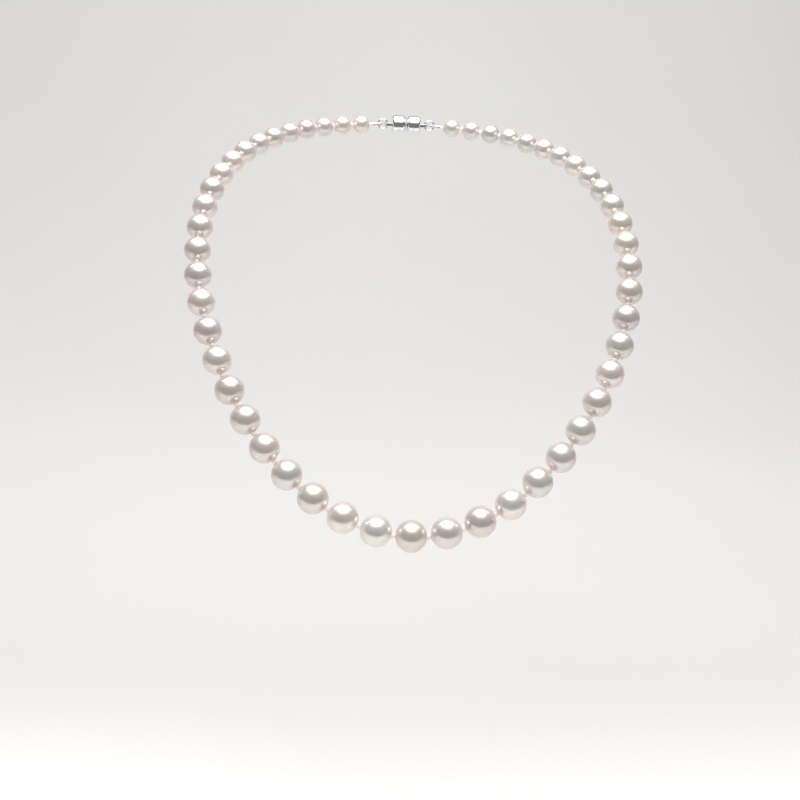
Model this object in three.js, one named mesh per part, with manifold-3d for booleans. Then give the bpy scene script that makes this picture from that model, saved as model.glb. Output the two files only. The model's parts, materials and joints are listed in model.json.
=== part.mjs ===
// A single-strand pearl necklace, laid out as it is worn. Drilled pearls grow from the nape to the front,
// one silk thread runs through them with a knot between neighbours, and a magnetic clasp in two halves
// closes the strand. Millimetres, +Z up. The origin is the middle of the closed clasp at the nape, the front
// faces -Y, and left and right are as seen from the front, so +X is on the right.
import * as THREE from 'three';
import * as BufferGeometryUtils from 'three/addons/utils/BufferGeometryUtils.js';
import Module from 'manifold-3d';

// The pearls. The one at the front centre is the largest, and they shrink evenly to both ends.
const PEARLS_EACH_SIDE = 25;
const FRONT_PEARL_DIAMETER = 8.5;
const END_PEARL_DIAMETER = 5.5;
const GRADING_POWER = 1.3;
const DRILL_DIAMETER = 1.0;
const PEARL_SEGMENTS = 12;
const PEARL_ARC_STEPS = 6;

// The closed loop that the knots lie on, before it is scaled to the strand's length. The front half is
// fuller over the chest, and the sides rise over the shoulders.
const HALF_WIDTH = 59.1;
const HALF_DEPTH = 57.3;
const CHEST_FULLNESS = 7.1;
const HALF_DROP = 46.2;
const SHOULDER_RISE = 10.5;

// The silk thread and its knots, which fill the gaps between the pearls.
const KNOT_GAP = 0.9;
const KNOT_DIAMETER = 1.4;
const KNOT_LENGTH = 0.76;
const KNOT_CROWN_LENGTH = 0.3;
const THREAD_DIAMETER = 0.6;
const THREAD_END_DIAMETER = 0.4;
const THREAD_END_OFFSET = 0.22;
const THREAD_TAIL_LENGTH = 2.0;
const THREAD_SIDES = 6;

// One half of the clasp: a round shell with a magnet in its flat face and a drilled lug on its other end.
const MATING_GAP = 0.4;
const SHELL_DIAMETER = 6;
const SHELL_LENGTH = 4.2;
const MATING_EDGE_RADIUS = 1.2;
const OUTER_EDGE_RADIUS = 0.8;
const MAGNET_DIAMETER = 2.7;
const MAGNET_THICKNESS = 1.6;
const MAGNET_CHAMFER = 0.15;
const MAGNET_CLEARANCE = 0.1;
const MAGNET_DEPTH = 0.2;
const LUG_THICKNESS = 1.0;
const LUG_HOLE_DIAMETER = 0.9;
const LUG_WALL = 0.6;
const LUG_HOLE_FROM_SHELL = 1.4;
const LUG_ROOT = 0.6;
const CLASP_SEGMENTS = 16;
const ROUNDING_STEPS = 3;

// The ring that joins each end of the strand to its half of the clasp.
const RING_DIAMETER = 3.0;
const RING_WIRE_DIAMETER = 0.56;
const RING_SEGMENTS = 16;
const RING_WIRE_SIDES = 6;

// The coil of fine wire that guards the thread where it passes round the ring.
const GIMP_LENGTH = 2.4;
const GIMP_DIAMETER = 0.8;
const GIMP_BORE = 0.5;
const GIMP_BEND_RADIUS = 0.85;
const GIMP_END_OFFSET = 0.42;
const GIMP_END_GAP = 0.35;
const GIMP_LEG_TAPER = 0.08;
const GIMP_STEPS = 12;
const GIMP_SIDES = 8;

const MATING_FACE_X = MATING_GAP / 2;
const SHELL_END_X = MATING_FACE_X + SHELL_LENGTH;
const LUG_HOLE_X = SHELL_END_X + LUG_HOLE_FROM_SHELL;
const RING_CENTRE_X = LUG_HOLE_X + RING_DIAMETER / 2;
const RING_FAR_X = LUG_HOLE_X + RING_DIAMETER;
const STRAND_END_X = RING_FAR_X + GIMP_LENGTH;

const BISECTION_STEPS = 50;
const LONGEST_STEP = 0.5;
const SMALLEST_LOOP_SCALE = 0.8;
const LARGEST_LOOP_SCALE = 1.2;
const UP = new THREE.Vector3(0, 0, 1);
const LATHE_AXIS = new THREE.Vector3(0, 1, 0);
const RIGHT = 1;
const LEFT = -1;

// Plain finishes.
const NACRE = { color: 0xefe4df, roughness: 0.18, metalness: 0 };
const SILK = { color: 0xf4efe8, roughness: 0.75, metalness: 0 };
const POLISHED_SILVER = { color: 0xd4d6da, roughness: 0.2, metalness: 1 };
const FINE_WIRE = { color: 0xd8d9dc, roughness: 0.35, metalness: 0.9 };
const PLATED_MAGNET = { color: 0xb4b6ba, roughness: 0.3, metalness: 1 };

const wasm = await Module();
wasm.setup();

const group = new THREE.Group();

function addMesh(name, geometry, finish) {
  const mesh = new THREE.Mesh(geometry, new THREE.MeshStandardMaterial(finish));
  mesh.name = name;
  group.add(mesh);
  return mesh;
}

// Halves the interval until the value where tooHigh turns true is known.
function bisect(low, high, tooHigh) {
  for (let i = 0; i < BISECTION_STEPS; i += 1) {
    const middle = (low + high) / 2;
    if (tooHigh(middle)) {
      high = middle;
    } else {
      low = middle;
    }
  }
  return (low + high) / 2;
}

// ---- The layout of the strand

// Pearl 0 is the front centre, and pearl PEARLS_EACH_SIDE is next to the clasp.
function pearlDiameter(number) {
  const share = (number / PEARLS_EACH_SIDE) ** GRADING_POWER;
  return FRONT_PEARL_DIAMETER + (END_PEARL_DIAMETER - FRONT_PEARL_DIAMETER) * share;
}

// The right half of the loop: angle 0 is the front centre and angle PI is the nape.
function loopPoint(angle, scale) {
  const bulge = 1 - Math.cos(2 * angle);
  const forward = 1 + Math.cos(angle);
  const point = new THREE.Vector3();
  point.x = HALF_WIDTH * Math.sin(angle);
  point.y = -HALF_DEPTH * forward - CHEST_FULLNESS * bulge;
  point.z = -HALF_DROP * forward + SHOULDER_RISE * bulge;
  return point.multiplyScalar(scale);
}

// The knots of the right half, from the front centre to the end of the strand, a pearl and a gap apart.
function placeKnots(scale) {
  const firstX = (pearlDiameter(0) + KNOT_GAP) / 2;
  let angle = bisect(0, LONGEST_STEP, (a) => loopPoint(a, scale).x > firstX);
  const knots = [loopPoint(angle, scale)];
  for (let number = 1; number <= PEARLS_EACH_SIDE; number += 1) {
    const from = knots[number - 1];
    const chord = pearlDiameter(number) + KNOT_GAP;
    const isBeyond = (a) => loopPoint(a, scale).distanceTo(from) > chord;
    angle = bisect(angle, angle + LONGEST_STEP, isBeyond);
    knots.push(loopPoint(angle, scale));
  }
  return knots;
}

// The loop is scaled until the last knot stands where the clasp's ring and wire coil end.
const isTooLarge = (scale) => placeKnots(scale)[PEARLS_EACH_SIDE].x > STRAND_END_X;
const loopScale = bisect(SMALLEST_LOOP_SCALE, LARGEST_LOOP_SCALE, isTooLarge);
const rightKnots = placeKnots(loopScale);

function mirrored(point, side) {
  return new THREE.Vector3(point.x * side, point.y, point.z);
}

// ---- Pearls

function pearlGeometry(diameter) {
  const radius = diameter / 2;
  const mouth = Math.acos(DRILL_DIAMETER / diameter);
  const profile = [];
  for (let step = 0; step <= PEARL_ARC_STEPS; step += 1) {
    const latitude = mouth * (2 * step / PEARL_ARC_STEPS - 1);
    profile.push(new THREE.Vector2(radius * Math.cos(latitude), radius * Math.sin(latitude)));
  }
  profile.push(profile[0].clone());
  return new THREE.LatheGeometry(profile, PEARL_SEGMENTS);
}

// A pearl's drill hole runs straight from the knot before it to the knot after it.
function addPearl(name, diameter, knotBefore, knotAfter) {
  const mesh = addMesh(name, pearlGeometry(diameter), NACRE);
  mesh.position.addVectors(knotBefore, knotAfter).multiplyScalar(0.5);
  const axis = new THREE.Vector3().subVectors(knotAfter, knotBefore).normalize();
  mesh.quaternion.setFromUnitVectors(LATHE_AXIS, axis);
}

// Every knot from the left end of the strand to the right end.
const leftKnots = rightKnots.map((knot) => mirrored(knot, LEFT)).reverse();
const knots = [...leftKnots, ...rightKnots];
for (let i = 0; i < knots.length - 1; i += 1) {
  const name = `pearl_${String(i + 1).padStart(2, '0')}`;
  const diameter = pearlDiameter(Math.abs(i - PEARLS_EACH_SIDE));
  addPearl(name, diameter, knots[i], knots[i + 1]);
}

// ---- The ends of the strand, where the thread turns round the ring

// Places in the plane of the strand's end: along it from the ring to the last pearl, and across it.
function strandEnd(side) {
  const turn = new THREE.Vector3(RING_FAR_X * side, 0, 0);
  const end = mirrored(rightKnots[PEARLS_EACH_SIDE], side);
  const inner = mirrored(rightKnots[PEARLS_EACH_SIDE - 1], side);
  const along = new THREE.Vector3().subVectors(end, turn);
  const length = along.length();
  along.normalize();
  const across = new THREE.Vector3().crossVectors(UP, along).normalize();
  const inward = new THREE.Vector3().subVectors(inner, end).normalize();
  const at = (forward, sideways) => turn.clone()
    .addScaledVector(along, forward)
    .addScaledVector(across, sideways);
  return { end, length, across, inward, at };
}

// From one leg of the U to the other: a straight leg, half a turn round the ring, and a straight leg back.
function gimpPath(place) {
  const legEnd = place.length - GIMP_END_GAP;
  const midOffset = GIMP_BEND_RADIUS - GIMP_LEG_TAPER;
  const points = [place.at(legEnd, GIMP_END_OFFSET), place.at(legEnd / 2, midOffset)];
  for (let step = 0; step <= ROUNDING_STEPS; step += 1) {
    const angle = Math.PI * step / ROUNDING_STEPS;
    points.push(place.at(-GIMP_BEND_RADIUS * Math.sin(angle), GIMP_BEND_RADIUS * Math.cos(angle)));
  }
  points.push(place.at(legEnd / 2, -midOffset), place.at(legEnd, -GIMP_END_OFFSET));
  const path = new THREE.CurvePath();
  path.add(new THREE.CatmullRomCurve3(points));
  return path;
}

function addGimpCoil(name, side) {
  const section = new THREE.Shape();
  section.absarc(0, 0, GIMP_DIAMETER / 2, 0, 2 * Math.PI);
  const bore = new THREE.Path();
  bore.absarc(0, 0, GIMP_BORE / 2, 0, 2 * Math.PI, true);
  section.holes.push(bore);
  const options = { steps: GIMP_STEPS, curveSegments: GIMP_SIDES / 2, bevelEnabled: false };
  options.extrudePath = gimpPath(strandEnd(side));
  addMesh(name, new THREE.ExtrudeGeometry(section, options), FINE_WIRE);
}
addGimpCoil('gimp_coil_right', RIGHT);
addGimpCoil('gimp_coil_left', LEFT);

// ---- The silk thread

// The rings of a round section that grows and shrinks along the thread.
const sections = [];

function addSection(centre, direction, diameter) {
  sections.push({ centre, direction: direction.clone().normalize(), diameter });
}

// The thread comes out of the last pearl beside its own tail, turns round the ring inside the wire coil and
// goes back into the pearl, where the tail ends.
function threadEndPoints(side) {
  const place = strandEnd(side);
  const inPearl = (depth, offset) => place.end.clone()
    .addScaledVector(place.inward, depth)
    .addScaledVector(place.across, offset);
  const tail = [inPearl(THREAD_TAIL_LENGTH, THREAD_END_OFFSET), inPearl(KNOT_GAP, THREAD_END_OFFSET)];
  const bend = gimpPath(place).getSpacedPoints(GIMP_STEPS);
  const back = [inPearl(KNOT_GAP, -THREAD_END_OFFSET), inPearl(THREAD_TAIL_LENGTH, -THREAD_END_OFFSET)];
  return [...tail, ...bend, ...back];
}

function addThreadEnd(points) {
  points.forEach((point, i) => {
    const before = points[Math.max(i - 1, 0)];
    const after = points[Math.min(i + 1, points.length - 1)];
    addSection(point, new THREE.Vector3().subVectors(after, before), THREAD_END_DIAMETER);
  });
}

// A knot swells between two pearls: it is thin at both ends and full at its crown.
function addKnot(before, knot, after) {
  const incoming = new THREE.Vector3().subVectors(knot, before).normalize();
  const outgoing = new THREE.Vector3().subVectors(after, knot).normalize();
  const on = (direction, distance) => knot.clone().addScaledVector(direction, distance);
  addSection(on(incoming, -KNOT_LENGTH / 2), incoming, THREAD_DIAMETER);
  addSection(on(incoming, -KNOT_CROWN_LENGTH / 2), incoming, KNOT_DIAMETER);
  addSection(on(outgoing, KNOT_CROWN_LENGTH / 2), outgoing, KNOT_DIAMETER);
  addSection(on(outgoing, KNOT_LENGTH / 2), outgoing, THREAD_DIAMETER);
}

addThreadEnd(threadEndPoints(LEFT));
for (let i = 1; i < knots.length - 1; i += 1) {
  addKnot(knots[i - 1], knots[i], knots[i + 1]);
}
addThreadEnd(threadEndPoints(RIGHT).reverse());

// Joins the sections into one closed body, turning the section no more than the path turns.
function threadGeometry() {
  const vertices = [];
  const triangles = [];
  const radial = new THREE.Vector3().crossVectors(sections[0].direction, UP).normalize();
  let previous = sections[0].direction;
  sections.forEach(({ centre, direction, diameter }, row) => {
    radial.applyQuaternion(new THREE.Quaternion().setFromUnitVectors(previous, direction));
    previous = direction;
    for (let side = 0; side < THREAD_SIDES; side += 1) {
      const spoke = radial.clone().applyAxisAngle(direction, 2 * Math.PI * side / THREAD_SIDES);
      vertices.push(...centre.clone().addScaledVector(spoke, diameter / 2));
      const next = (side + 1) % THREAD_SIDES;
      const [a, b] = [row * THREAD_SIDES + side, row * THREAD_SIDES + next];
      if (row > 0) {
        triangles.push(a - THREAD_SIDES, b - THREAD_SIDES, b, a - THREAD_SIDES, b, a);
      }
    }
  });
  const lastRow = (sections.length - 1) * THREAD_SIDES;
  for (let side = 1; side < THREAD_SIDES - 1; side += 1) {
    triangles.push(0, side + 1, side, lastRow, lastRow + side, lastRow + side + 1);
  }
  const geometry = new THREE.BufferGeometry();
  geometry.setAttribute('position', new THREE.Float32BufferAttribute(vertices, 3));
  geometry.setIndex(triangles);
  return geometry;
}
addMesh('silk_thread', threadGeometry(), SILK);

// ---- The clasp

function toManifold(geometry) {
  const bare = geometry.clone();
  bare.deleteAttribute('normal');
  bare.deleteAttribute('uv');
  const merged = BufferGeometryUtils.mergeVertices(bare);
  const vertProperties = new Float32Array(merged.attributes.position.array);
  const triVerts = new Uint32Array(merged.index.array);
  return new wasm.Manifold(new wasm.Mesh({ numProp: 3, vertProperties, triVerts }));
}

function toGeometry(manifold) {
  const mesh = manifold.getMesh();
  const geometry = new THREE.BufferGeometry();
  geometry.setAttribute('position', new THREE.Float32BufferAttribute(mesh.vertProperties, 3));
  geometry.setIndex([...mesh.triVerts]);
  return geometry;
}

// The points of a quarter circle in a lathe profile, between two directions in radians.
function cornerPoints(centreRadius, centreHeight, cornerRadius, fromAngle, toAngle) {
  const points = [];
  for (let step = 0; step <= ROUNDING_STEPS; step += 1) {
    const angle = fromAngle + (toAngle - fromAngle) * step / ROUNDING_STEPS;
    const radius = centreRadius + cornerRadius * Math.cos(angle);
    points.push(new THREE.Vector2(radius, centreHeight + cornerRadius * Math.sin(angle)));
  }
  return points;
}

// The shell of the right half, turned about the strand's axis, with the magnet's pocket in its flat face.
function shellBody() {
  const radius = SHELL_DIAMETER / 2;
  const pocketRadius = MAGNET_DIAMETER / 2 + MAGNET_CLEARANCE;
  const pocketDepth = MAGNET_DEPTH + MAGNET_THICKNESS + MAGNET_CLEARANCE;
  const outerHeight = SHELL_LENGTH - OUTER_EDGE_RADIUS;
  const quarter = Math.PI / 2;
  const profile = [
    new THREE.Vector2(0, pocketDepth),
    new THREE.Vector2(pocketRadius, pocketDepth),
    new THREE.Vector2(pocketRadius, 0),
    ...cornerPoints(radius - MATING_EDGE_RADIUS, MATING_EDGE_RADIUS, MATING_EDGE_RADIUS, -quarter, 0),
    ...cornerPoints(radius - OUTER_EDGE_RADIUS, outerHeight, OUTER_EDGE_RADIUS, 0, quarter),
    new THREE.Vector2(0, SHELL_LENGTH),
  ];
  const geometry = new THREE.LatheGeometry(profile, CLASP_SEGMENTS);
  return geometry.rotateZ(-quarter).translate(MATING_FACE_X, 0, 0);
}

// A flat tab with a round end and a hole for the ring.
function lugBody() {
  const endRadius = LUG_HOLE_DIAMETER / 2 + LUG_WALL;
  const outline = new THREE.Shape();
  outline.moveTo(SHELL_END_X - LUG_ROOT, -endRadius);
  outline.absarc(LUG_HOLE_X, 0, endRadius, -Math.PI / 2, Math.PI / 2);
  outline.lineTo(SHELL_END_X - LUG_ROOT, endRadius);
  const hole = new THREE.Path();
  hole.absarc(LUG_HOLE_X, 0, LUG_HOLE_DIAMETER / 2, 0, 2 * Math.PI, true);
  outline.holes.push(hole);
  const options = { depth: LUG_THICKNESS, bevelEnabled: false, curveSegments: RING_SEGMENTS / 2 };
  return new THREE.ExtrudeGeometry(outline, options).translate(0, 0, -LUG_THICKNESS / 2);
}

function magnetGeometry() {
  const radius = MAGNET_DIAMETER / 2;
  const profile = [
    new THREE.Vector2(0, 0),
    new THREE.Vector2(radius - MAGNET_CHAMFER, 0),
    new THREE.Vector2(radius, MAGNET_CHAMFER),
    new THREE.Vector2(radius, MAGNET_THICKNESS - MAGNET_CHAMFER),
    new THREE.Vector2(radius - MAGNET_CHAMFER, MAGNET_THICKNESS),
    new THREE.Vector2(0, MAGNET_THICKNESS),
  ];
  const geometry = new THREE.LatheGeometry(profile, CLASP_SEGMENTS);
  return geometry.rotateZ(-Math.PI / 2).translate(MATING_FACE_X + MAGNET_DEPTH, 0, 0);
}

function ringGeometry() {
  const wireRadius = RING_WIRE_DIAMETER / 2;
  const ring = new THREE.TorusGeometry(RING_DIAMETER / 2, wireRadius, RING_WIRE_SIDES, RING_SEGMENTS);
  return ring.rotateX(Math.PI / 2).translate(RING_CENTRE_X, 0, 0);
}

// The left half is the right half turned half a turn about the vertical.
function addClaspHalf(sideName, turn) {
  const shell = toGeometry(toManifold(shellBody()).add(toManifold(lugBody())));
  addMesh(`clasp_shell_${sideName}`, shell, POLISHED_SILVER).rotation.z = turn;
  addMesh(`magnet_${sideName}`, magnetGeometry(), PLATED_MAGNET).rotation.z = turn;
  addMesh(`end_ring_${sideName}`, ringGeometry(), POLISHED_SILVER).rotation.z = turn;
}
addClaspHalf('right', 0);
addClaspHalf('left', Math.PI);

export default group;
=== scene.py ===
"""A knotted pearl necklace: nacre, twisted silk, gimp wire and a polished magnetic clasp. In metres."""
import json
import math
import random

import bpy
import numpy as np
from mathutils import Matrix, Vector


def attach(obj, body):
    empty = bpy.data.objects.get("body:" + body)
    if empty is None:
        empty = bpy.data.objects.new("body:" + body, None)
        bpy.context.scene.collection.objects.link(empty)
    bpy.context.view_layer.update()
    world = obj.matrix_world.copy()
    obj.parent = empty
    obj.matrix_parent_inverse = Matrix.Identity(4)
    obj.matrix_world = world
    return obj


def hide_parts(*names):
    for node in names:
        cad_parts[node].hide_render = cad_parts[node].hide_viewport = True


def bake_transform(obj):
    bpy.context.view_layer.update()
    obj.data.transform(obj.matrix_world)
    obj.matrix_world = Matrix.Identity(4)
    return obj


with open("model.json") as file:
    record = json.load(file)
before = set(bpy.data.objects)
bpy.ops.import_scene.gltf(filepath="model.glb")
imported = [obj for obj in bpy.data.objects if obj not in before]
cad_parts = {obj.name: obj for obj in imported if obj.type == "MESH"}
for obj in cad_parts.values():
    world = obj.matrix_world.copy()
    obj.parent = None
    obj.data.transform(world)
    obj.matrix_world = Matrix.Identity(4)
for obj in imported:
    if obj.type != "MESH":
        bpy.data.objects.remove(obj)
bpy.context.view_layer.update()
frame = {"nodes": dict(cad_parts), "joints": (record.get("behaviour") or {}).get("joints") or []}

# One millimetre in metres, the steps of a curve between two of its points, and a sine too small to use.
MM = 0.001
CURVE_STEPS = 24
NEARLY_PARALLEL = 0.1

# The strand: PEARL_COUNT pearls from the left end to the right end, with the largest at the front centre.
PEARL_COUNT = 51
FRONT_PEARL = 26
JOINTS = {joint["name"]: joint for joint in frame["joints"]}

# A pearl's surface.
PEARL_SIDES = 64
PEARL_ROWS = 40
BORE_ROWS = 4
DRILL_RADIUS = 0.5 * MM
MOUTH_ROUNDING = 0.09 * MM
MOUTH_TURNS = (0.3, 0.65, 1.0)
MOUTH_ROWS = 3

# How pearls differ. Swells and dimples are shares of the radius, and a dimple's width is for a radius of 1.
PEARL_SEED = 1000
OFF_ROUND = 0.006
SWELL_COUNT = 5
SWELL_WAVES = [1.5, 2.0, 3.0]
SWELL_PHASES = (0, 6)
SWELL_WEIGHTS = (0.1, 0.5)
DIMPLES_EACH = 3
DIMPLE_DEPTH = 0.004
DIMPLE_DEPTH_SHARES = (0.2, 1.0)
DIMPLE_WIDTHS = (0.09, 0.2)
ROSE = (1.0, 0.925, 0.90)
MAUVE = (0.97, 0.90, 0.925)
SILVER_GREEN = (0.96, 0.947, 0.905)
CREAM = (1.0, 0.94, 0.875)
SILVER_ROSE = (0.975, 0.945, 0.925)
TINTS = [ROSE, MAUVE, SILVER_GREEN, CREAM, SILVER_ROSE]
TINT_WEIGHTS = [4, 3, 2, 2, 2]
TINT_BRIGHTNESS = (0.86, 1.0)

# The silk: a twisted cord that is tied in an overhand knot between every two pearls.
SILK_RADIUS = 0.24 * MM
SILK_PLIES = 3
PLY_DEPTH = 0.08
TWIST_PITCH = 0.75 * MM
SILK_SIDES = 18
SILK_REACH_SHARE = 0.85
# Painted glow: the silk's emission, which brightens the knots where the pearls shade them.
SILK_PAINTED_GLOW = 0.17
KNOT_SEED = 5000
KNOT_HALF_LENGTH = 0.27 * MM
KNOT_CORE_RADIUS = 0.15 * MM
KNOT_CORE_PLACES = [
    (-0.8 * MM, 0, 0),
    (-0.5 * MM, 0.02 * MM, 0),
    (-0.2 * MM, 0, KNOT_CORE_RADIUS),
    (0.1 * MM, 0, KNOT_CORE_RADIUS),
    (0.3 * MM, 0.15 * MM, 0.12 * MM),
]
KNOT_WRAP_RADIUS = 0.48 * MM
KNOT_WRAP_SHARE = 0.75
KNOT_WRAP_STEPS = 30
KNOT_TURNS = 1.5
KNOT_SAMPLES = 150

# The ends of the strand: the thread turns round a ring inside a coil of fine wire.
GIMP_END_GAP = 0.35 * MM
GIMP_END_OFFSET = 0.42 * MM
GIMP_BEND_RADIUS = 0.85 * MM
GIMP_BEND_STEPS = 6
GIMP_LEG_TAPER = 0.08 * MM
GIMP_MEAN_RADIUS = 0.325 * MM
GIMP_WIRE_RADIUS = 0.07 * MM
GIMP_PITCH = 0.155 * MM
GIMP_SPINE_SAMPLES = 400
GIMP_SAMPLES_A_TURN = 14
GIMP_WIRE_SIDES = 8
THREAD_END_OFFSET = 0.22 * MM
THREAD_MOUTH = 0.6 * MM
THREAD_TAIL = 2.0 * MM
THREAD_END_SAMPLES = 160

# One half of the clasp.
MATING_FACE_X = 0.2 * MM
SHELL_RADIUS = 3.0 * MM
SHELL_LENGTH = 4.2 * MM
MATING_EDGE_RADIUS = 1.2 * MM
OUTER_EDGE_RADIUS = 0.8 * MM
GROOVE_X = 2.35 * MM
GROOVE_HALF_WIDTH = 0.16 * MM
GROOVE_DEPTH = 0.12 * MM
GROOVE_POINTS = 13
MAGNET_RADIUS = 1.35 * MM
MAGNET_THICKNESS = 1.6 * MM
MAGNET_BEVEL = 0.15 * MM
MAGNET_CLEARANCE = 0.1 * MM
MAGNET_DEPTH = 0.2 * MM
POCKET_BEVEL = 0.06 * MM
LUG_THICKNESS = 1.0 * MM
LUG_HOLE_RADIUS = 0.45 * MM
LUG_WALL = 0.6 * MM
LUG_ROOT = 0.6 * MM
LUG_END_POINTS = 25
LUG_BEVEL = 0.12 * MM
LUG_BEVEL_SEGMENTS = 3
SHARP_ANGLE = math.radians(40)
LATHE_SIDES = 96
HOLE_SIDES = 48
ARC_STEPS = 10
RING_WIRE_RADIUS = 0.28 * MM
RING_STEPS = 96
RING_WIRE_SIDES = 24
SOLDER_SWELL = 0.12
SOLDER_SPREAD = 0.28

# The camera and the studio.
CAMERA_TARGET = Vector((-0.00317, -0.09, -0.06307))
CAMERA_DISTANCE = 0.400
CAMERA_ELEVATION = math.radians(17.09)
CAMERA_YAW = math.radians(3.71)
CAMERA_ROLL = math.radians(3.02)
FOCAL_LENGTH = 66.69
SENSOR_WIDTH = 36.0
CLIP_START = 0.01
FLOOR_Z = -0.165
FLOOR_FRONT_Y = -0.34
FLOOR_BACK_Y = 0.55
FLOOR_HALF_WIDTH = 1.6
SWEEP_RADIUS = 0.35
SWEEP_STEPS = 24
WALL_HEIGHT = 0.9
# The paper's painted glow: emission, warm and strongest in front of the necklace, that lights the pearls'
# undersides like a lamp.
PAPER_PAINTED_GLOW_COLOUR = (1.0, 0.95, 0.89, 1)
PAPER_FADE_FRONT_Y = -0.18
PAPER_FADE_BACK_Y = -0.04
PAPER_BACK_TONE = 0.83
PAPER_FRONT_PAINTED_GLOW = 0.30
PAPER_BACK_PAINTED_GLOW = 0.07
SOFT_BOX_Y = -0.15
SOFT_BOX_Z = 0.30
LIGHT_COLOUR = (0.985, 0.993, 1.0)
LAYER_WIDTHS = (0.64, 0.46, 0.34, 0.22)
LAYER_RADIANCE = 0.82
LAYER_SPACING = 0.002
BACKDROP_LIGHT = (0.0, 0.12, 0.42)
BACKDROP_AIM = (0.0, 0.55, -0.05)
BACKDROP_LIGHT_WIDTH = 1.2
BACKDROP_LIGHT_DEPTH = 0.4
BACKDROP_RADIANCE = 2.0
ROOM_COLOUR = (1.0, 0.965, 0.93, 1)
ROOM_DIM = 0.2
ROOM_BRIGHT = 0.55
ROOM_DIM_BELOW = 0.35
ROOM_BRIGHT_ABOVE = 0.95
ROOM_AS_SEEN = 0.75

# Material detail: the scales are features a metre, and the bumps are heights.
NACRE_CLOUD_SCALE = 190.0
NACRE_BLUSH_SCALE = 420.0
NACRE_GLOSS_SCALE = 1100.0
NACRE_GROWTH_SCALE = 1500.0
NACRE_SPECKLE_SCALE = 3800.0
NACRE_BUMP = 0.012 * MM
NACRE_ROSE_CLOUD = (0.985, 0.935, 0.925, 1)
NACRE_GREEN_CLOUD = (0.93, 0.95, 0.905, 1)
NACRE_BLUSH = (0.96, 0.89, 0.90, 1)
SILK_FUZZ_SCALE = 5000.0
SILK_FIBRE_SCALE = 14000.0
SILK_BUMP = 0.01 * MM
SILK_SHADE = (0.98, 0.90, 0.86, 1)
SILK_LIGHT = (1.0, 0.95, 0.91, 1)
METAL_TONE_SCALE = 700.0
METAL_BUMP = 0.006 * MM
METAL_WEAR = 2.1
PAPER_GRAIN_SCALE = 3.0

NAME_OF_SIDE = {1: "right", -1: "left"}


# ---- Meshes

def add_piece(name, vertices, faces, material):
    """A smooth mesh object of these vertices and faces, with one material."""
    mesh = bpy.data.meshes.new(name)
    mesh.from_pydata([tuple(v) for v in vertices], [], faces)
    mesh.polygons.foreach_set("use_smooth", [True] * len(faces))
    mesh.materials.append(material)
    piece = bpy.data.objects.new(name, mesh)
    bpy.context.scene.collection.objects.link(piece)
    return piece


def grid_faces(rows, sides, closed):
    """Quads between rows of points round an axis. A closed grid joins its last row to its first."""
    faces = []
    for row in range(rows if closed else rows - 1):
        here, there = row * sides, (row + 1) % rows * sides
        for side in range(sides):
            after = (side + 1) % sides
            faces.append((here + side, here + after, there + after, there + side))
    return faces


def end_discs(rows, sides):
    """The two flat faces that close a grid of rows at its ends."""
    last = (rows - 1) * sides
    return [tuple(range(sides - 1, -1, -1)), tuple(range(last, last + sides))]


def tube_frames(path):
    """Directions along a path, with two directions across it that turn no more than the path does."""
    along = np.gradient(np.asarray(path, float), axis=0)
    along /= np.linalg.norm(along, axis=1)[:, None]
    start = np.cross(along[0], (0.0, 0.0, 1.0))
    if np.linalg.norm(start) < NEARLY_PARALLEL:
        start = np.cross(along[0], (0.0, 1.0, 0.0))
    across = [start / np.linalg.norm(start)]
    for direction in along[1:]:
        carried = across[-1] - direction * (across[-1] @ direction)
        across.append(carried / np.linalg.norm(carried))
    across = np.array(across)
    return along, across, np.cross(along, across)


def lengths_along(path):
    """The distance travelled at each point of a path."""
    steps = np.linalg.norm(np.diff(np.asarray(path, float), axis=0), axis=1)
    return np.concatenate(([0.0], np.cumsum(steps)))


def tube(path, sides, radius_at):
    """A closed tube along an open path. radius_at gives its radius at a distance and an angle."""
    _, across, up = tube_frames(path)
    travelled = lengths_along(path)
    angles = np.linspace(0, 2 * math.pi, sides, endpoint=False)
    vertices = []
    for point, a, b, distance in zip(path, across, up, travelled):
        for angle in angles:
            radius = radius_at(distance, angle)
            vertices.append(point + radius * (math.cos(angle) * a + math.sin(angle) * b))
    return vertices, grid_faces(len(path), sides, closed=False) + end_discs(len(path), sides)


def silk_radius(distance, angle):
    """The outline of a cord of SILK_PLIES plies, which turns once every TWIST_PITCH."""
    turn = 2 * math.pi * distance / TWIST_PITCH
    return SILK_RADIUS * (1 + PLY_DEPTH * math.cos(SILK_PLIES * (angle - turn)))


def smooth_path(points, samples):
    """A Catmull-Rom curve through points, at even distances."""
    points = np.array([np.array(p, float) for p in points])
    padded = np.vstack([2 * points[0] - points[1], points, 2 * points[-1] - points[-2]])
    fine = []
    for i in range(len(points) - 1):
        p0, p1, p2, p3 = padded[i:i + 4]
        for t in np.linspace(0, 1, CURVE_STEPS, endpoint=False):
            a = 2 * p1 + (p2 - p0) * t
            b = (2 * p0 - 5 * p1 + 4 * p2 - p3) * t ** 2
            c = (3 * p1 - p0 - 3 * p2 + p3) * t ** 3
            fine.append((a + b + c) / 2)
    fine.append(points[-1])
    fine = np.array(fine)
    travelled = lengths_along(fine)
    wanted = np.linspace(0, travelled[-1], samples)
    return np.stack([np.interp(wanted, travelled, fine[:, k]) for k in range(3)], axis=1)


def frame_of(direction):
    """A rotation whose X axis is this direction and whose Z axis is as near to up as it can be."""
    x = Vector(direction).normalized()
    y = Vector((0, 0, 1)).cross(x)
    if y.length < NEARLY_PARALLEL:
        y = Vector((0, 1, 0))
    y.normalize()
    return Matrix((x, y, x.cross(y))).transposed()


def arc(centre, radius, first, last):
    """Points of an arc in a lathe profile of (x, radius) pairs."""
    angles = np.linspace(first, last, ARC_STEPS)
    return [(centre[0] + radius * math.cos(a), centre[1] + radius * math.sin(a)) for a in angles]


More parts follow.
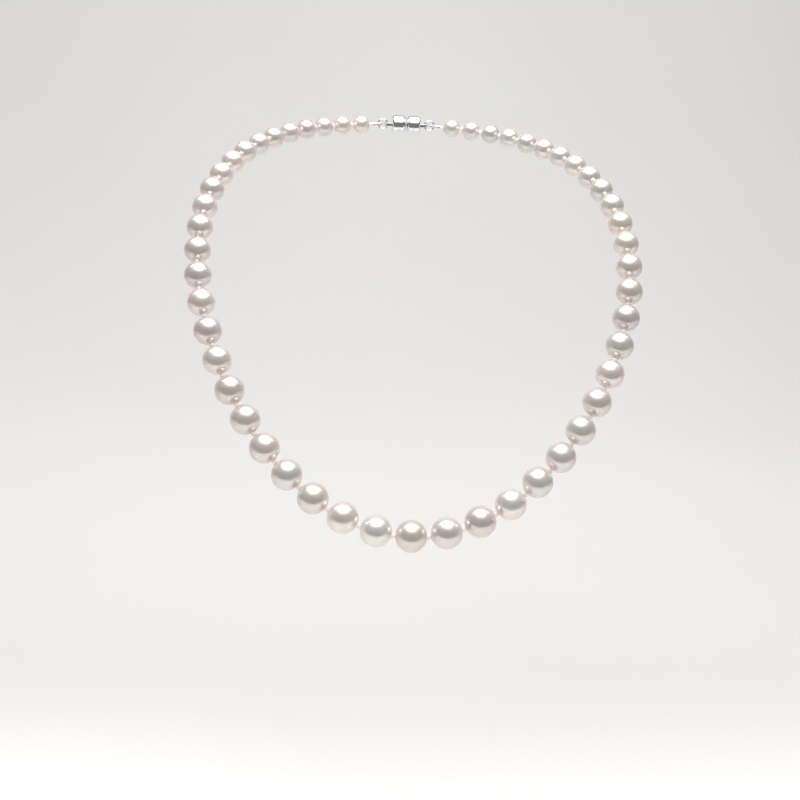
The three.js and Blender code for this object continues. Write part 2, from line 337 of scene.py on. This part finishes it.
def lathe(profile, sides, closed=False):
    """A solid of revolution about the X axis from (x, radius) pairs. An open profile ends in flat discs."""
    angles = np.linspace(0, 2 * math.pi, sides, endpoint=False)
    vertices = []
    for x, radius in profile:
        for angle in angles:
            vertices.append((x, radius * math.cos(angle), radius * math.sin(angle)))
    faces = grid_faces(len(profile), sides, closed)
    return vertices, faces if closed else faces + end_discs(len(profile), sides)


# ---- Materials

def new_material(name, settings):
    """A material with a Principled shader whose sockets have these constants."""
    material = bpy.data.materials.new(name)
    material.use_nodes = True
    shader = material.node_tree.nodes["Principled BSDF"]
    for socket, value in settings.items():
        shader.inputs[socket].default_value = value
    return material, shader


def add_node(material, kind, settings=None, **inputs):
    """A shader node with these properties, and with these inputs linked or set."""
    node = material.node_tree.nodes.new(kind)
    for key, value in (settings or {}).items():
        setattr(node, key, value)
    for key, value in inputs.items():
        socket = node.inputs[key.replace("_", " ")]
        if isinstance(value, bpy.types.NodeSocket):
            material.node_tree.links.new(value, socket)
        else:
            socket.default_value = value
    return node


def mix_colour(material, factor, first, second, blend="MIX"):
    """The colour between two colours, or the one blended on the other."""
    node = material.node_tree.nodes.new("ShaderNodeMix")
    node.data_type = "RGBA"
    node.blend_type = blend
    factor_socket, first_socket, second_socket = node.inputs[0], node.inputs[6], node.inputs[7]
    for socket, value in ((factor_socket, factor), (first_socket, first), (second_socket, second)):
        if isinstance(value, bpy.types.NodeSocket):
            material.node_tree.links.new(value, socket)
        else:
            socket.default_value = value
    return node.outputs[2]


def ramp(material, factor, stops):
    """A smooth colour ramp over a factor. A stop is a place and a grey level or a colour."""
    node = material.node_tree.nodes.new("ShaderNodeValToRGB")
    node.color_ramp.interpolation = "EASE"
    elements = node.color_ramp.elements
    while len(elements) < len(stops):
        elements.new(0.5)
    for element, (place, colour) in zip(elements, stops):
        element.position = place
        element.color = colour if isinstance(colour, tuple) else (colour, colour, colour, 1)
    material.node_tree.links.new(factor, node.inputs["Fac"])
    return node.outputs["Color"]


def noise(material, scale, detail=2.0, distortion=0.0):
    """Noise in the object's own coordinates, with this many features a metre."""
    place = add_node(material, "ShaderNodeTexCoord").outputs["Object"]
    node = add_node(material, "ShaderNodeTexNoise", None, Vector=place, Scale=scale, Detail=detail)
    node.inputs["Distortion"].default_value = distortion
    return node.outputs["Fac"]


def add_bump(material, shader, height, distance, strength):
    """Bump from a height, over a real distance."""
    bump = add_node(material, "ShaderNodeBump", None, Height=height, Distance=distance, Strength=strength)
    material.node_tree.links.new(bump.outputs["Normal"], shader.inputs["Normal"])


def nacre():
    """Nacre: a pale body under a bright part-metallic lustre, with each pearl's own tint over it."""
    material, shader = new_material("nacre", {
        "Metallic": 0.46,
        "Specular IOR Level": 0.75,
        "Specular Tint": (1.0, 0.86, 0.80, 1),
        "Subsurface Weight": 0.4,
        "Subsurface Radius": (1.0, 0.72, 0.62),
        "Subsurface Scale": 0.9 * MM,
        "Coat Weight": 0.7,
        "Coat Roughness": 0.30,
        "Coat IOR": 1.7,
        "Sheen Weight": 0.28,
        "Sheen Roughness": 0.35,
        "Sheen Tint": (1.0, 0.80, 0.76, 1),
        "Thin Film Thickness": 360.0,
        "Thin Film IOR": 1.45,
    })
    tint = add_node(material, "ShaderNodeAttribute", {"attribute_name": "overtone"}).outputs["Color"]
    clouds = noise(material, NACRE_CLOUD_SCALE, detail=2.0, distortion=0.8)
    green_share = ramp(material, clouds, [(0.38, 0.0), (0.62, 1.0)])
    orient = mix_colour(material, green_share, NACRE_ROSE_CLOUD, NACRE_GREEN_CLOUD)
    patches = noise(material, NACRE_BLUSH_SCALE, detail=3.0, distortion=0.5)
    blush_share = ramp(material, patches, [(0.42, 0.0), (0.70, 0.7)])
    warm = mix_colour(material, blush_share, orient, NACRE_BLUSH)
    grains = noise(material, NACRE_SPECKLE_SCALE, detail=3.0)
    speckle = ramp(material, grains, [(0.35, 0.955), (0.65, 1.0)])
    grained = mix_colour(material, 1.0, warm, speckle, "MULTIPLY")
    colour = mix_colour(material, 1.0, grained, tint, "MULTIPLY")
    material.node_tree.links.new(colour, shader.inputs["Base Color"])
    gloss = noise(material, NACRE_GLOSS_SCALE, detail=4.0)
    roughness = ramp(material, gloss, [(0.3, 0.12), (0.75, 0.19)])
    material.node_tree.links.new(roughness, shader.inputs["Roughness"])
    growth = noise(material, NACRE_GROWTH_SCALE, detail=6.0, distortion=2.2)
    add_bump(material, shader, growth, NACRE_BUMP, strength=0.35)
    return material


def twisted_silk():
    """Silk: fine bright fibres, a soft sheen, and a faint painted glow (emission) that brightens the knots
    in the shade between the pearls.
    """
    material, shader = new_material("twisted_silk", {
        "Subsurface Weight": 0.15,
        "Subsurface Radius": (1.0, 0.85, 0.78),
        "Subsurface Scale": 0.1 * MM,
        "Sheen Weight": 0.7,
        "Sheen Roughness": 0.4,
        "Sheen Tint": (1.0, 0.92, 0.88, 1),
        "Specular IOR Level": 0.3,
        # Painted glow: emission that brightens the knots in the pearls' shade.
        "Emission Color": (1.0, 0.90, 0.84, 1),
        "Emission Strength": SILK_PAINTED_GLOW,
    })
    fibres = noise(material, SILK_FIBRE_SCALE, detail=3.0, distortion=0.4)
    shade = ramp(material, fibres, [(0.3, SILK_SHADE), (0.7, SILK_LIGHT)])
    material.node_tree.links.new(shade, shader.inputs["Base Color"])
    rough = ramp(material, noise(material, SILK_FUZZ_SCALE), [(0.3, 0.42), (0.7, 0.62)])
    material.node_tree.links.new(rough, shader.inputs["Roughness"])
    add_bump(material, shader, fibres, SILK_BUMP, strength=0.3)
    return material


def metal(name, colour, dark, roughness, scratch_scale):
    """Polished metal with a faint uneven tone and fine handling marks, which are rougher than the rest."""
    material, shader = new_material(name, {"Metallic": 1.0, "Specular IOR Level": 0.6})
    uneven = noise(material, METAL_TONE_SCALE, detail=3.0, distortion=0.5)
    tone = ramp(material, uneven, [(0.3, dark), (0.7, colour)])
    material.node_tree.links.new(tone, shader.inputs["Base Color"])
    marks = noise(material, scratch_scale, detail=6.0, distortion=1.5)
    polish = ramp(material, marks, [(0.35, roughness), (0.75, roughness * METAL_WEAR)])
    material.node_tree.links.new(polish, shader.inputs["Roughness"])
    add_bump(material, shader, marks, METAL_BUMP, strength=0.25)
    return material


def studio_paper():
    """The pale floor and backdrop, which are a little greyer behind the necklace than in front of it, with a
    painted glow (emission) that is warm and strongest in front and lights the pearls from below.
    """
    material, shader = new_material("studio_paper", {
        "Roughness": 0.85,
        "Specular IOR Level": 0.2,
        "Emission Color": PAPER_PAINTED_GLOW_COLOUR,
    })
    back_grey = (PAPER_BACK_TONE, PAPER_BACK_TONE, PAPER_BACK_TONE, 1)
    place = add_node(material, "ShaderNodeTexCoord").outputs["Object"]
    depth = add_node(material, "ShaderNodeSeparateXYZ", None, Vector=place).outputs["Y"]
    smooth = {"interpolation_type": "SMOOTHSTEP"}
    fade = {"From_Min": PAPER_FADE_FRONT_Y, "From_Max": PAPER_FADE_BACK_Y}
    share = add_node(material, "ShaderNodeMapRange", smooth, Value=depth, **fade).outputs["Result"]
    front = ramp(material, noise(material, PAPER_GRAIN_SCALE), [(0.3, 0.79), (0.7, 0.82)])
    back = mix_colour(material, 1.0, front, back_grey, "MULTIPLY")
    tone = mix_colour(material, share, front, back)
    material.node_tree.links.new(tone, shader.inputs["Base Color"])
    # Painted glow: emission that is strongest in front and lights the pearls from below.
    painted_glow_ends = {"To_Min": PAPER_FRONT_PAINTED_GLOW, "To_Max": PAPER_BACK_PAINTED_GLOW}
    glow = add_node(material, "ShaderNodeMapRange", smooth, Value=depth, **fade, **painted_glow_ends)
    material.node_tree.links.new(glow.outputs["Result"], shader.inputs["Emission Strength"])
    return material


NACRE = nacre()
SILK = twisted_silk()
SILVER = metal("polished_silver", (0.90, 0.90, 0.91, 1), (0.82, 0.82, 0.83, 1), 0.07, 3000.0)
WIRE = metal("gimp_wire", (0.84, 0.84, 0.85, 1), (0.72, 0.72, 0.73, 1), 0.16, 6000.0)
PLATING = metal("magnet_plating", (0.70, 0.70, 0.71, 1), (0.60, 0.60, 0.61, 1), 0.18, 4000.0)


# ---- The layout, from the frame

def pearl_name(number):
    """The CAD node of a pearl, counted from the left end."""
    return f"pearl_{number:02d}"


def body_of(number):
    """The body that a pearl rides on."""
    return "front_centre" if number == FRONT_PEARL else pearl_name(number)


def knot_after(number):
    """The middle of the knot between a pearl and the next one to the right."""
    return Vector(JOINTS[f"knot_{number:02d}_{number + 1:02d}"]["pos_m"])


def corners(node):
    """The vertices of a CAD node."""
    mesh = frame["nodes"][node].data
    flat = np.empty(len(mesh.vertices) * 3, np.float32)
    mesh.vertices.foreach_get("co", flat)
    return flat.reshape(-1, 3).astype(float)


def pearl_centre(number):
    """The middle of a pearl's box."""
    low, high = corners(pearl_name(number)).min(0), corners(pearl_name(number)).max(0)
    return Vector((low + high) / 2)


def pearl_radius(number):
    """The distance of the farthest corner from the middle."""
    away = corners(pearl_name(number)) - np.array(pearl_centre(number))
    return float(np.linalg.norm(away, axis=1).max())


def strand_ends(number):
    """Where the thread comes into a pearl from the left and goes out of it to the right."""
    middle = pearl_centre(number)
    if number == 1:
        right = knot_after(number)
        return middle * 2 - right, right
    left = knot_after(number - 1)
    if number == PEARL_COUNT:
        return left, middle * 2 - left
    return left, knot_after(number)


# ---- Pearls

def overtone(dice):
    """A pearl's own tint: mostly rose, some mauve, silver-green, cream or silver-rose."""
    tint = np.array(dice.choices(TINTS, TINT_WEIGHTS)[0])
    return tint * dice.uniform(*TINT_BRIGHTNESS)


def random_direction(dice):
    """A unit vector that points any way."""
    direction = np.array([dice.gauss(0, 1) for _ in range(3)])
    return direction / np.linalg.norm(direction)


def bent_radius(directions, radius, dice):
    """The radius in each direction. A pearl is not quite round: shallow swells and a few dimples."""
    swell = np.zeros(len(directions))
    for _ in range(SWELL_COUNT):
        axis = random_direction(dice)
        waves = dice.choice(SWELL_WAVES)
        phase = dice.uniform(*SWELL_PHASES)
        height = np.sin(waves * math.pi * directions @ axis / 2 + phase)
        swell += height * dice.uniform(*SWELL_WEIGHTS)
    shape = 1 + OFF_ROUND * (swell - 1.0) / SWELL_COUNT
    for _ in range(DIMPLES_EACH):
        place = random_direction(dice)
        width = dice.uniform(*DIMPLE_WIDTHS)
        gap = np.linalg.norm(directions - place, axis=1)
        depth = DIMPLE_DEPTH * dice.uniform(*DIMPLE_DEPTH_SHARES)
        shape -= depth * np.exp(-(gap / width) ** 2)
    return radius * shape


def pearl_profile(radius):
    """(x, radius) pairs: the outside from mouth to mouth, each mouth's rounded rim, and the bore."""
    rim = DRILL_RADIUS + MOUTH_ROUNDING
    mouth = math.acos(rim / radius)
    angles = np.linspace(-mouth, mouth, PEARL_ROWS)
    outside = [(radius * math.sin(a), radius * math.cos(a)) for a in angles]
    end = radius * math.sin(mouth)
    corner = []
    for quarter_share in MOUTH_TURNS:
        turn = quarter_share * math.pi / 2
        x = end - MOUTH_ROUNDING * (1 - math.cos(turn))
        corner.append((x, rim - MOUTH_ROUNDING * math.sin(turn)))
    bore_end = corner[-1][0]
    bore = [(x, DRILL_RADIUS) for x in np.linspace(bore_end, -bore_end, BORE_ROWS + 2)[1:-1]]
    return outside, corner + bore + [(-x, r) for x, r in reversed(corner)]


def make_pearl(number):
    """A drilled pearl that is round at its mouths and slightly off round between them."""
    dice = random.Random(PEARL_SEED + number)
    left, right = strand_ends(number)
    radius = pearl_radius(number)
    turn = np.array(frame_of(right - left))
    middle = np.array(pearl_centre(number))
    outside, inside = pearl_profile(radius)
    vertices, faces = lathe(outside + inside, PEARL_SIDES, closed=True)
    points = np.array(vertices) @ turn.T
    skin = len(outside) * PEARL_SIDES
    directions = points[:skin] / np.linalg.norm(points[:skin], axis=1)[:, None]
    away = bent_radius(directions, radius, dice) / radius
    last = len(outside) - 1
    off_round = np.array([min(1.0, k / MOUTH_ROWS, (last - k) / MOUTH_ROWS) for k in range(last + 1)])
    away = 1 + (away - 1) * np.repeat(off_round, PEARL_SIDES)
    points[:skin] *= away[:, None]
    piece = add_piece(f"nacre_{pearl_name(number)}", points + middle, faces, NACRE)
    tint = overtone(dice)
    colours = piece.data.color_attributes.new("overtone", "FLOAT_COLOR", "POINT")
    colours.data.foreach_set("color", np.tile([*tint, 1.0], len(points)).astype(np.float32))
    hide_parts(pearl_name(number))
    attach(piece, body_of(number))


# ---- Silk

def knot_path(reach):
    """A tight overhand knot on the X axis: in through the core, back round both strands, and out again."""
    wrap = []
    for step in range(KNOT_WRAP_STEPS + 1):
        share = step / KNOT_WRAP_STEPS
        angle = 2 * math.pi * KNOT_TURNS * share
        x = KNOT_HALF_LENGTH * (1 - 2 * share) * KNOT_WRAP_SHARE
        wrap.append((x, KNOT_WRAP_RADIUS * math.cos(angle), KNOT_WRAP_RADIUS * math.sin(angle)))
    way_in = [(-reach, 0, 0)] + KNOT_CORE_PLACES
    way_out = [(-x, -y, -z) for x, y, z in reversed(way_in)]
    return smooth_path(way_in + wrap + way_out, KNOT_SAMPLES)


def make_knot(number):
    """The stretch of silk from inside one pearl to inside the next, with the knot between them."""
    dice = random.Random(KNOT_SEED + number)
    knot = knot_after(number)
    before, after = pearl_centre(number), pearl_centre(number + 1)
    turn = frame_of(after - before) @ Matrix.Rotation(dice.uniform(0, 2 * math.pi), 3, "X")
    reach = pearl_radius(number + 1) * SILK_REACH_SHARE
    vertices, faces = tube(knot_path(reach), SILK_SIDES, silk_radius)
    placed = np.array(vertices) @ np.array(turn).T + np.array(knot)
    piece = add_piece(f"silk_knot_{number:02d}_{number + 1:02d}", placed, faces, SILK)
    if number == FRONT_PEARL:
        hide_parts("silk_thread")
    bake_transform(piece)


# ---- The ends of the strand

def end_places(side):
    """The gimp's path at one end, a function for places inside the last pearl, and that pearl's body."""
    number = PEARL_COUNT if side > 0 else 1
    left, right = strand_ends(number)
    end, inner = (right, left) if side > 0 else (left, right)
    turn = Vector(JOINTS[f"ring_swing_{NAME_OF_SIDE[side]}"]["pos_m"])
    along = (end - turn).normalized()
    length = (end - turn).length
    across = Vector((0, 0, 1)).cross(along).normalized()
    inward = (inner - end).normalized()

    def at(forward, sideways):
        return turn + along * forward + across * sideways

    def in_pearl(depth, offset):
        return end + inward * depth + across * offset

    leg_end = length - GIMP_END_GAP
    middle = GIMP_BEND_RADIUS - GIMP_LEG_TAPER
    path = [at(leg_end, GIMP_END_OFFSET), at(leg_end / 2, middle)]
    for step in range(GIMP_BEND_STEPS + 1):
        angle = math.pi * step / GIMP_BEND_STEPS
        path.append(at(-GIMP_BEND_RADIUS * math.sin(angle), GIMP_BEND_RADIUS * math.cos(angle)))
    path += [at(leg_end / 2, -middle), at(leg_end, -GIMP_END_OFFSET)]
    return path, in_pearl, body_of(number)


def make_gimp(side):
    """A close coil of fine wire along the U that the thread makes round the ring."""
    name = NAME_OF_SIDE[side]
    path, _, body = end_places(side)
    spine = smooth_path(path, GIMP_SPINE_SAMPLES)
    _, across, up = tube_frames(spine)
    length = lengths_along(spine)[-1]
    turns = length / GIMP_PITCH
    count = int(turns * GIMP_SAMPLES_A_TURN)
    places = np.linspace(0, len(spine) - 1, count)
    lower = np.minimum(places.astype(int), len(spine) - 2)
    share = (places - lower)[:, None]
    centre = spine[lower] * (1 - share) + spine[lower + 1] * share
    a, b = across[lower], up[lower]
    angle = np.linspace(0, 2 * math.pi * turns, count)[:, None]
    helix = centre + GIMP_MEAN_RADIUS * (np.cos(angle) * a + np.sin(angle) * b)
    vertices, faces = tube(helix, GIMP_WIRE_SIDES, lambda distance, at_angle: GIMP_WIRE_RADIUS)
    piece = add_piece(f"gimp_wire_{name}", vertices, faces, WIRE)
    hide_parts(f"gimp_coil_{name}")
    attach(piece, body)


def make_thread_end(side):
    """The thread from the last pearl, round inside the gimp, and back into the pearl."""
    path, in_pearl, body = end_places(side)
    out = [in_pearl(THREAD_TAIL, THREAD_END_OFFSET), in_pearl(THREAD_MOUTH, THREAD_END_OFFSET)]
    back = [in_pearl(THREAD_MOUTH, -THREAD_END_OFFSET), in_pearl(THREAD_TAIL, -THREAD_END_OFFSET)]
    thread = smooth_path(out + path + back, THREAD_END_SAMPLES)
    vertices, faces = tube(thread, SILK_SIDES, silk_radius)
    piece = add_piece(f"silk_end_{NAME_OF_SIDE[side]}", vertices, faces, SILK)
    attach(piece, body)


# ---- The clasp

def shell_profile():
    """(x, radius) pairs: the magnet's pocket, the mating face, the barrel with its groove, the back."""
    pocket = MAGNET_RADIUS + MAGNET_CLEARANCE
    floor_x = MATING_FACE_X + MAGNET_DEPTH + MAGNET_THICKNESS + MAGNET_CLEARANCE
    face, back = MATING_FACE_X, MATING_FACE_X + SHELL_LENGTH
    edge = (face + MATING_EDGE_RADIUS, SHELL_RADIUS - MATING_EDGE_RADIUS)
    outer = (back - OUTER_EDGE_RADIUS, SHELL_RADIUS - OUTER_EDGE_RADIUS)
    groove = []
    for t in np.linspace(-1, 1, GROOVE_POINTS):
        depth = GROOVE_DEPTH * (0.5 + 0.5 * math.cos(math.pi * t))
        groove.append((GROOVE_X + GROOVE_HALF_WIDTH * t, SHELL_RADIUS - depth))
    mouth = [(floor_x, pocket), (face + POCKET_BEVEL, pocket), (face, pocket + POCKET_BEVEL)]
    front = arc(edge, MATING_EDGE_RADIUS, math.pi, math.pi / 2)
    rear = arc(outer, OUTER_EDGE_RADIUS, math.pi / 2, 0)
    return mouth + front + groove + rear + [(back, SHELL_RADIUS / 2)]


def lug_outline(root_x, hole_x, half_width):
    """The lug's outline in the plane of its face: straight sides and a round end about its hole."""
    angles = np.linspace(-math.pi / 2, math.pi / 2, LUG_END_POINTS)
    outline = [(root_x, -half_width)]
    outline += [(hole_x + half_width * math.cos(a), half_width * math.sin(a)) for a in angles]
    return outline + [(root_x, half_width)]


def add_blank(name, vertices, faces):
    """A mesh object with no material yet."""
    mesh = bpy.data.meshes.new(name)
    mesh.from_pydata([tuple(v) for v in vertices], [], faces)
    mesh.update()
    piece = bpy.data.objects.new(name, mesh)
    bpy.context.scene.collection.objects.link(piece)
    return piece


def apply_modifiers(piece):
    """Leaves the mesh as the modifiers make it."""
    graph = bpy.context.evaluated_depsgraph_get()
    mesh = bpy.data.meshes.new_from_object(piece.evaluated_get(graph))
    piece.modifiers.clear()
    piece.data = mesh


def cut_or_join(piece, tool, operation):
    """Cuts a tool out of a piece or joins it on, and removes the tool."""
    boolean = piece.modifiers.new("boolean", "BOOLEAN")
    boolean.operation = operation
    boolean.solver = "EXACT"
    boolean.object = tool
    apply_modifiers(piece)
    bpy.data.objects.remove(tool)


def make_lug(name):
    """The drilled lug of one clasp half, on the right, with softened edges."""
    hole_x = abs(JOINTS[f"clasp_swing_{name}"]["pos_m"][0])
    half_width = LUG_HOLE_RADIUS + LUG_WALL
    root_x = MATING_FACE_X + SHELL_LENGTH - LUG_ROOT
    outline = lug_outline(root_x, hole_x, half_width)
    count = len(outline)
    flat = [(x, y, z) for z in (-LUG_THICKNESS / 2, LUG_THICKNESS / 2) for x, y in outline]
    sides = [(i, (i + 1) % count, count + (i + 1) % count, count + i) for i in range(count)]
    ends = [tuple(range(count - 1, -1, -1)), tuple(range(count, 2 * count))]
    lug = add_blank("lug", flat, sides + ends)
    drill = [(-LUG_THICKNESS, LUG_HOLE_RADIUS), (LUG_THICKNESS, LUG_HOLE_RADIUS)]
    vertices, faces = lathe(drill, HOLE_SIDES)
    upright = [(-z + hole_x, y, x) for x, y, z in vertices]
    cut_or_join(lug, add_blank("hole", upright, faces), "DIFFERENCE")
    bevel = lug.modifiers.new("bevel", "BEVEL")
    bevel.width = LUG_BEVEL
    bevel.segments = LUG_BEVEL_SEGMENTS
    bevel.limit_method = "ANGLE"
    apply_modifiers(lug)
    return lug


def make_shell(side):
    """One half of the clasp with its lug, made on the right and turned to its side."""
    name = NAME_OF_SIDE[side]
    lug = make_lug(name)
    vertices, faces = lathe(shell_profile(), LATHE_SIDES)
    shell = add_blank(f"silver_shell_{name}", vertices, faces)
    cut_or_join(shell, lug, "UNION")
    shell.data.transform(Matrix.Rotation(0 if side > 0 else math.pi, 4, "Z"))
    shell.data.materials.clear()
    shell.data.materials.append(SILVER)
    shell.data.polygons.foreach_set("use_smooth", [True] * len(shell.data.polygons))
    shell.data.set_sharp_from_angle(angle=SHARP_ANGLE)
    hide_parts(f"clasp_shell_{name}")
    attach(shell, f"clasp_{name}")


def make_magnet(side):
    """A plated disc with chamfered edges."""
    name = NAME_OF_SIDE[side]
    face = MATING_FACE_X + MAGNET_DEPTH
    back = face + MAGNET_THICKNESS
    inner = MAGNET_RADIUS - MAGNET_BEVEL
    front = arc((face + MAGNET_BEVEL, inner), MAGNET_BEVEL, math.pi, math.pi / 2)
    rear = arc((back - MAGNET_BEVEL, inner), MAGNET_BEVEL, math.pi / 2, 0)
    profile = [(face, inner / 2)] + front + rear + [(back, inner / 2)]
    vertices, faces = lathe(profile, LATHE_SIDES)
    turned = [(side * x, side * y, z) for x, y, z in vertices]
    piece = add_piece(f"plated_magnet_{name}", turned, faces, PLATING)
    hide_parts(f"magnet_{name}")
    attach(piece, f"clasp_{name}")


def make_ring(side):
    """A round-wire ring with a soldered join on its underside."""
    name = NAME_OF_SIDE[side]
    near = Vector(JOINTS[f"clasp_swing_{name}"]["pos_m"])
    far = Vector(JOINTS[f"ring_swing_{name}"]["pos_m"])
    middle, radius = (near + far) / 2, (far - near).length / 2
    vertices = []
    for step in range(RING_STEPS):
        around = 2 * math.pi * step / RING_STEPS
        out = Vector((math.cos(around), 0, math.sin(around)))
        off_join = math.remainder(around + math.pi / 2, 2 * math.pi)
        swell = 1 + SOLDER_SWELL * math.exp(-(off_join / SOLDER_SPREAD) ** 2)
        for side_step in range(RING_WIRE_SIDES):
            angle = 2 * math.pi * side_step / RING_WIRE_SIDES
            spoke = out * math.cos(angle) + Vector((0, 1, 0)) * math.sin(angle)
            vertices.append(middle + out * radius + spoke * RING_WIRE_RADIUS * swell)
    faces = [tuple(reversed(f)) for f in grid_faces(RING_STEPS, RING_WIRE_SIDES, closed=True)]
    piece = add_piece(f"silver_ring_{name}", vertices, faces, SILVER)
    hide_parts(f"end_ring_{name}")
    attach(piece, f"end_ring_{name}")


# ---- The studio

def make_stage():
    """A pale floor that sweeps up into a backdrop."""
    profile = [(FLOOR_FRONT_Y, FLOOR_Z), (FLOOR_BACK_Y - SWEEP_RADIUS, FLOOR_Z)]
    for step in range(1, SWEEP_STEPS + 1):
        angle = math.pi / 2 * step / SWEEP_STEPS
        y = FLOOR_BACK_Y - SWEEP_RADIUS + SWEEP_RADIUS * math.sin(angle)
        profile.append((y, FLOOR_Z + SWEEP_RADIUS * (1 - math.cos(angle))))
    profile.append((FLOOR_BACK_Y, FLOOR_Z + WALL_HEIGHT))
    vertices = [(x, y, z) for y, z in profile for x in (-FLOOR_HALF_WIDTH, FLOOR_HALF_WIDTH)]
    faces = [(2 * i, 2 * i + 1, 2 * i + 3, 2 * i + 2) for i in range(len(profile) - 1)]
    add_piece("floor", vertices, faces, studio_paper())


def add_soft_box(name, place, aim, width, depth, radiance):
    """An oval area light of this radiance."""
    light = bpy.data.lights.new(name, "AREA")
    light.shape = "ELLIPSE"
    light.size, light.size_y = width, depth
    light.energy = radiance * math.pi * (math.pi / 4 * width * depth)
    light.color = LIGHT_COLOUR
    lamp = bpy.data.objects.new(name, light)
    lamp.location = place
    lamp.rotation_euler = (Vector(aim) - Vector(place)).to_track_quat("-Z", "Y").to_euler()
    bpy.context.scene.collection.objects.link(lamp)


def make_lights():
    """An overhead soft box that fades towards its edge, and a light for the backdrop."""
    below = (0, SOFT_BOX_Y, 0)
    for layer, width in enumerate(LAYER_WIDTHS):
        place = (0, SOFT_BOX_Y, SOFT_BOX_Z - LAYER_SPACING * layer)
        add_soft_box(f"soft_box_{layer + 1}", place, below, width, width, LAYER_RADIANCE)
    add_soft_box("backdrop_light", BACKDROP_LIGHT, BACKDROP_AIM, BACKDROP_LIGHT_WIDTH, BACKDROP_LIGHT_DEPTH,
                 BACKDROP_RADIANCE)


def make_room():
    """A room that is dim at eye level and brighter above, and plain and pale where the camera sees it."""
    world = bpy.data.worlds.new("studio")
    world.use_nodes = True
    nodes, links = world.node_tree.nodes, world.node_tree.links
    direction = nodes.new("ShaderNodeTexCoord")
    split = nodes.new("ShaderNodeSeparateXYZ")
    links.new(direction.outputs["Generated"], split.inputs["Vector"])
    lift = nodes.new("ShaderNodeMapRange")
    lift.interpolation_type = "SMOOTHSTEP"
    lift.inputs["From Min"].default_value = ROOM_DIM_BELOW
    lift.inputs["From Max"].default_value = ROOM_BRIGHT_ABOVE
    lift.inputs["To Min"].default_value = ROOM_DIM
    lift.inputs["To Max"].default_value = ROOM_BRIGHT
    links.new(split.outputs["Z"], lift.inputs["Value"])
    path = nodes.new("ShaderNodeLightPath")
    seen = nodes.new("ShaderNodeMix")
    links.new(path.outputs["Is Camera Ray"], seen.inputs[0])
    links.new(lift.outputs["Result"], seen.inputs[2])
    seen.inputs[3].default_value = ROOM_AS_SEEN
    sky = nodes["Background"]
    sky.inputs["Color"].default_value = ROOM_COLOUR
    links.new(seen.outputs[0], sky.inputs["Strength"])
    bpy.context.scene.world = world


def make_camera():
    """A camera that looks down on the necklace from in front, turned and tilted a little as in the photo."""
    yaw, tilt = CAMERA_YAW, CAMERA_ELEVATION
    forward = Vector((math.sin(yaw) * math.cos(tilt), math.cos(yaw) * math.cos(tilt), -math.sin(tilt)))
    level = Vector((math.cos(yaw), -math.sin(yaw), 0))
    upright = level.cross(forward)
    right = level * math.cos(CAMERA_ROLL) + upright * math.sin(CAMERA_ROLL)
    up = upright * math.cos(CAMERA_ROLL) - level * math.sin(CAMERA_ROLL)
    camera = bpy.data.cameras.new("camera")
    camera.lens = FOCAL_LENGTH
    camera.sensor_width = SENSOR_WIDTH
    camera.clip_start = CLIP_START
    eye = bpy.data.objects.new("camera", camera)
    turn = Matrix((right, up, -forward)).transposed().to_4x4()
    eye.matrix_world = Matrix.Translation(CAMERA_TARGET - forward * CAMERA_DISTANCE) @ turn
    bpy.context.scene.collection.objects.link(eye)
    bpy.context.scene.camera = eye


make_camera()
make_stage()
make_lights()
make_room()
for pearl_number in range(1, PEARL_COUNT + 1):
    make_pearl(pearl_number)
for pearl_number in range(1, PEARL_COUNT):
    make_knot(pearl_number)
for end_side in (1, -1):
    make_gimp(end_side)
    make_thread_end(end_side)
    make_shell(end_side)
    make_magnet(end_side)
    make_ring(end_side)
bpy.context.scene.view_settings.view_transform = "Standard"
